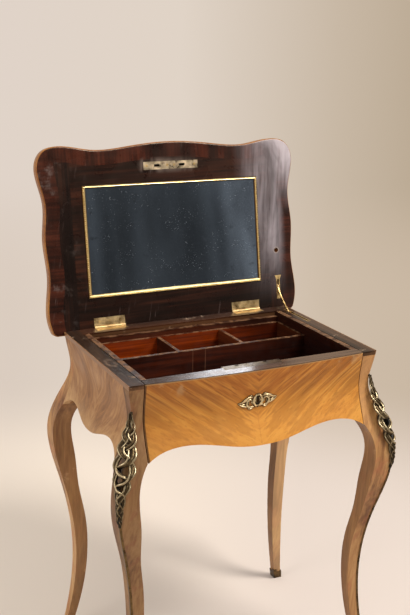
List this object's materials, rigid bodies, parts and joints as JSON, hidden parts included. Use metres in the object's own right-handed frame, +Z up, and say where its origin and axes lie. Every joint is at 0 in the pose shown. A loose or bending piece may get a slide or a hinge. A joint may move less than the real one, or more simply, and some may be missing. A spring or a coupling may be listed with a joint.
{
  "type": "dressing table",
  "caption": "Poudreuse dressing table with cabriole legs, a serpentine lift-up lid lined with a mirror, and a deep front drawer fitted with compartments.",
  "frame": {"origin": "centre of the open table's bounding box, at floor level", "axes": "+Z up, +X to the right as seen from the front, -Y towards the user"},
  "size_m": [0.5944, 0.4709, 1.0597],
  "materials": {
    "veneer": "polished veneer",
    "leg_wood": "polished",
    "lid_wood": "polished",
    "inner_wood": "satin",
    "brass": "aged polish",
    "dark_brass": "tarnished",
    "gilt_bronze": "worn gilding",
    "mirror": "old silvering"
  },
  "bodies": {
    "case": {"leg_front_left": "leg_wood", "sabot_front_left": "dark_brass", "leg_front_right": "leg_wood", "sabot_front_right": "dark_brass", "leg_back_left": "leg_wood", "sabot_back_left": "dark_brass", "leg_back_right": "leg_wood", "sabot_back_right": "dark_brass", "arris_strip_front_left": "dark_brass", "chute_front_left": "gilt_bronze", "arris_strip_front_right": "dark_brass", "chute_front_right": "gilt_bronze", "side_panel_left": "veneer", "side_panel_right": "veneer", "back_panel": "veneer", "rim_left": "leg_wood", "rim_right": "leg_wood", "rim_back": "leg_wood", "front_cross_rail": "inner_wood", "runner_left": "inner_wood", "runner_right": "inner_wood", "hinge_case_leaf_left": "brass", "hinge_case_leaf_right": "brass", "hinge_pin_left": "brass", "hinge_pin_right": "brass", "hinge_screws": "brass", "stay_slot_plate": "brass"},
    "drawer": {"drawer_front": "veneer", "drawer_side_left": "inner_wood", "drawer_side_right": "inner_wood", "drawer_back": "inner_wood", "drawer_bottom": "inner_wood", "partition_long": "inner_wood", "partition_left": "inner_wood", "partition_right": "inner_wood", "lining_back": "inner_wood", "lining_left": "inner_wood", "lining_right": "inner_wood", "lock_case": "dark_brass", "lock_top_plate": "brass", "lock_pivot_pins": "brass", "lock_screws": "brass", "escutcheon": "gilt_bronze"},
    "lid": {"lid_panel": "lid_wood", "mirror_glass": "mirror", "mirror_backing": "inner_wood", "mirror_fillet_top": "gilt_bronze", "mirror_fillet_bottom": "gilt_bronze", "mirror_fillet_left": "gilt_bronze", "mirror_fillet_right": "gilt_bronze", "strike_plate": "brass", "hinge_lid_leaf_left": "brass", "hinge_lid_leaf_right": "brass", "stay_bracket": "brass", "stay_pivot_pin": "brass", "lid_screws": "brass"},
    "stay": {"stay_arm": "brass", "stay_end_pin": "brass"},
    "hook_left": {"lock_hook_left": "brass"},
    "hook_right": {"lock_hook_right": "brass"}
  },
  "joints": [
    {"name": "lid_hinge", "type": "hinge", "parent": "case", "child": "lid", "pos_m": [0, 0.15368, 0.6902], "axis": [1, 0, 0], "range_deg": [0, 99.2]},
    {"name": "drawer_slide", "type": "slide", "parent": "case", "child": "drawer", "axis": [0, -1, 0], "range_m": [0, 0.18]},
    {"name": "stay_pivot", "type": "hinge", "parent": "lid", "child": "stay", "pos_m": [0.245, 0.16404, 0.73411], "axis": [1, 0, 0], "range_deg": [-126.7, 0]},
    {"name": "lock_hook_left", "type": "hinge", "parent": "drawer", "child": "hook_left", "pos_m": [-0.02175, -0.17192, 0.6795], "axis": [0, 1, 0], "range_deg": [0, 58]},
    {"name": "lock_hook_right", "type": "hinge", "parent": "drawer", "child": "hook_right", "pos_m": [0.01275, -0.17192, 0.6795], "axis": [0, -1, 0], "range_deg": [0, 58]}
  ],
  "couplings": [
    {"joint": "stay_pivot", "follows": "lid_hinge", "ratio": -1.277},
    {"joint": "lock_hook_right", "follows": "lock_hook_left", "ratio": 1}
  ]
}
